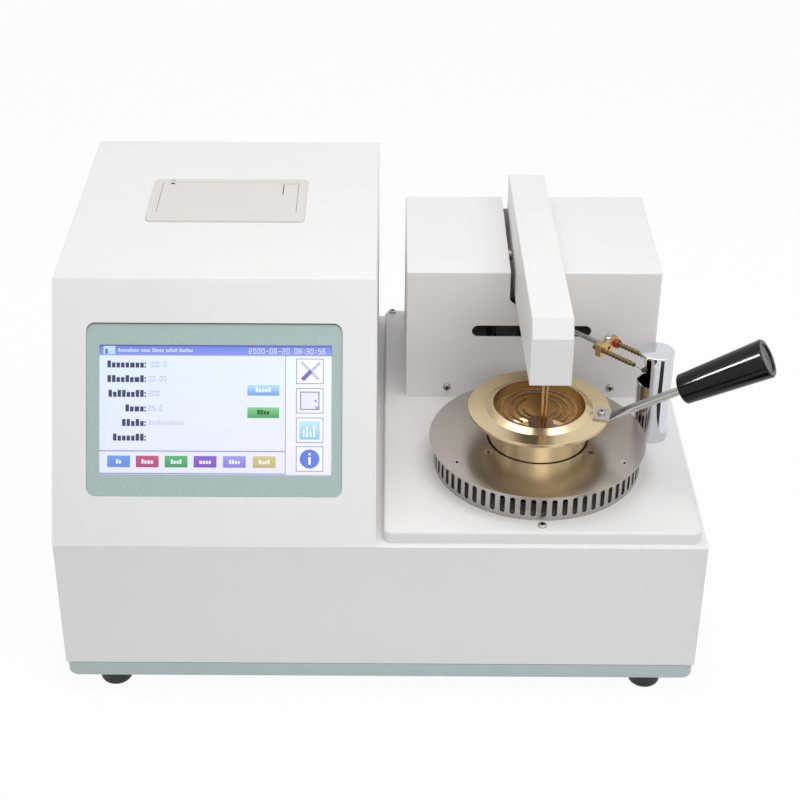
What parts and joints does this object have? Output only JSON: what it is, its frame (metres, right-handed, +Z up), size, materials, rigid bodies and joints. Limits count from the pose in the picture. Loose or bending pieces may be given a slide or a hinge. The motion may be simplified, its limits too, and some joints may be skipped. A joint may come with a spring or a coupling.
{
  "type": "flash point tester",
  "caption": "Bench flash point tester with a leaned display console, printer door, open brass cup with a black handle, lifting probe arm and swinging igniter.",
  "frame": {"origin": "middle of the whole object's footprint, handle included, on the bench", "axes": "+X to the right along the front, +Y towards the back, +Z up"},
  "size_m": [0.4784, 0.3222, 0.2802],
  "materials": {
    "white_paint": "fine textured powder coat",
    "grey_paint": "grey-green powder coat",
    "rubber": "matt black rubber",
    "steel": "brushed stainless steel",
    "zinc": "bright zinc-plated screws",
    "brass": "turned brass",
    "copper_strip": "heat-tinted brass strip",
    "chrome": "polished chrome",
    "grip_black": "glossy black phenolic",
    "printer_plastic": "warm light grey moulding",
    "bezel_plastic": "grey-green textured sheet",
    "screen": "lit display under a clear sheet",
    "board_green": "green circuit board",
    "paper": "thermal paper",
    "red_sleeve": "red insulating sleeve",
    "ceramic": "ceramic board",
    "heater_iron": "dark cast heater",
    "black_plastic": "black moulding"
  },
  "bodies": {
    "frame": {"base_plate": "grey_paint", "foot_front_left": "rubber", "foot_rear_left": "rubber", "foot_front_right": "rubber", "foot_rear_right": "rubber", "foot_screws": "zinc", "body_shell": "white_paint", "rear_panel": "white_paint", "rear_panel_screws": "zinc", "fan_frame": "black_plastic", "fan_guard": "chrome", "fan_screws": "zinc", "power_inlet": "black_plastic", "power_supply": "zinc", "display_bezel": "bezel_plastic", "display_panel": "screen", "control_board": "board_green", "printer_frame": "printer_plastic", "deck_plate": "white_paint", "deck_screws": "zinc", "mechanism_cover": "white_paint", "mechanism_base": "zinc", "mechanism_screws": "zinc", "arm_brackets": "zinc", "arm_motor": "zinc", "igniter_bracket": "zinc", "igniter_motor": "black_plastic", "shield_tube": "chrome", "shield_cap": "chrome", "shield_rivet": "steel", "heater_base": "ceramic", "heater_ring": "steel", "heater_cover": "steel", "heater_screws": "zinc", "heater_plate": "heater_iron", "heater_liner": "heater_iron"},
    "arm": {"arm_shaft": "steel", "arm_cover": "white_paint", "probe_block": "black_plastic", "temperature_probe": "brass", "electrode_stem": "brass", "flash_electrode": "copper_strip"},
    "igniter": {"igniter_hub": "steel", "igniter_rod": "steel", "igniter_block": "brass", "igniter_screw": "chrome", "igniter_sleeves": "red_sleeve", "igniter_terminals": "brass", "igniter_coil": "steel"},
    "cup": {"test_cup": "brass", "handle_strap": "steel", "handle_screw": "zinc", "handle_rod": "chrome", "handle_grip": "grip_black"},
    "printer_door": {"printer_door": "printer_plastic"},
    "paper_roll": {"paper_roll": "paper"},
    "platen": {"platen_roller": "rubber"},
    "fan_rotor": {"fan_rotor": "black_plastic"},
    "rocker": {"power_rocker": "black_plastic"}
  },
  "joints": [
    {"name": "arm_lift", "type": "hinge", "parent": "frame", "child": "arm", "pos_m": [0.08784, 0.06795, 0.226], "axis": [-1, 0, 0], "range_deg": [0, 60]},
    {"name": "igniter_swing", "type": "hinge", "parent": "frame", "child": "igniter", "pos_m": [0.08844, 0.04355, 0.19], "axis": [0, 0, -1], "range_deg": [0, 90]},
    {"name": "cup_lift", "type": "slide", "parent": "frame", "child": "cup", "axis": [0, 0, 1], "range_m": [0, 0.005]},
    {"name": "printer_door_hinge", "type": "hinge", "parent": "frame", "child": "printer_door", "pos_m": [-0.13181, 0.02625, 0.2789], "axis": [1, 0, 0], "range_deg": [0, 95]},
    {"name": "paper_roll_spin", "type": "hinge", "parent": "frame", "child": "paper_roll", "pos_m": [-0.13181, 0.04295, 0.252], "axis": [1, 0, 0], "continuous": true},
    {"name": "platen_spin", "type": "hinge", "parent": "frame", "child": "platen", "pos_m": [-0.13181, 0.06895, 0.268], "axis": [1, 0, 0], "continuous": true},
    {"name": "fan_spin", "type": "hinge", "parent": "frame", "child": "fan_rotor", "pos_m": [-0.13116, 0.14295, 0.205], "axis": [0, 1, 0], "continuous": true},
    {"name": "rocker_tilt", "type": "hinge", "parent": "frame", "child": "rocker", "pos_m": [-0.18616, 0.15445, 0.099], "axis": [-1, 0, 0], "range_deg": [0, 16]}
  ],
  "couplings": [
    {"joint": "platen_spin", "follows": "paper_roll_spin", "ratio": 3.4}
  ]
}
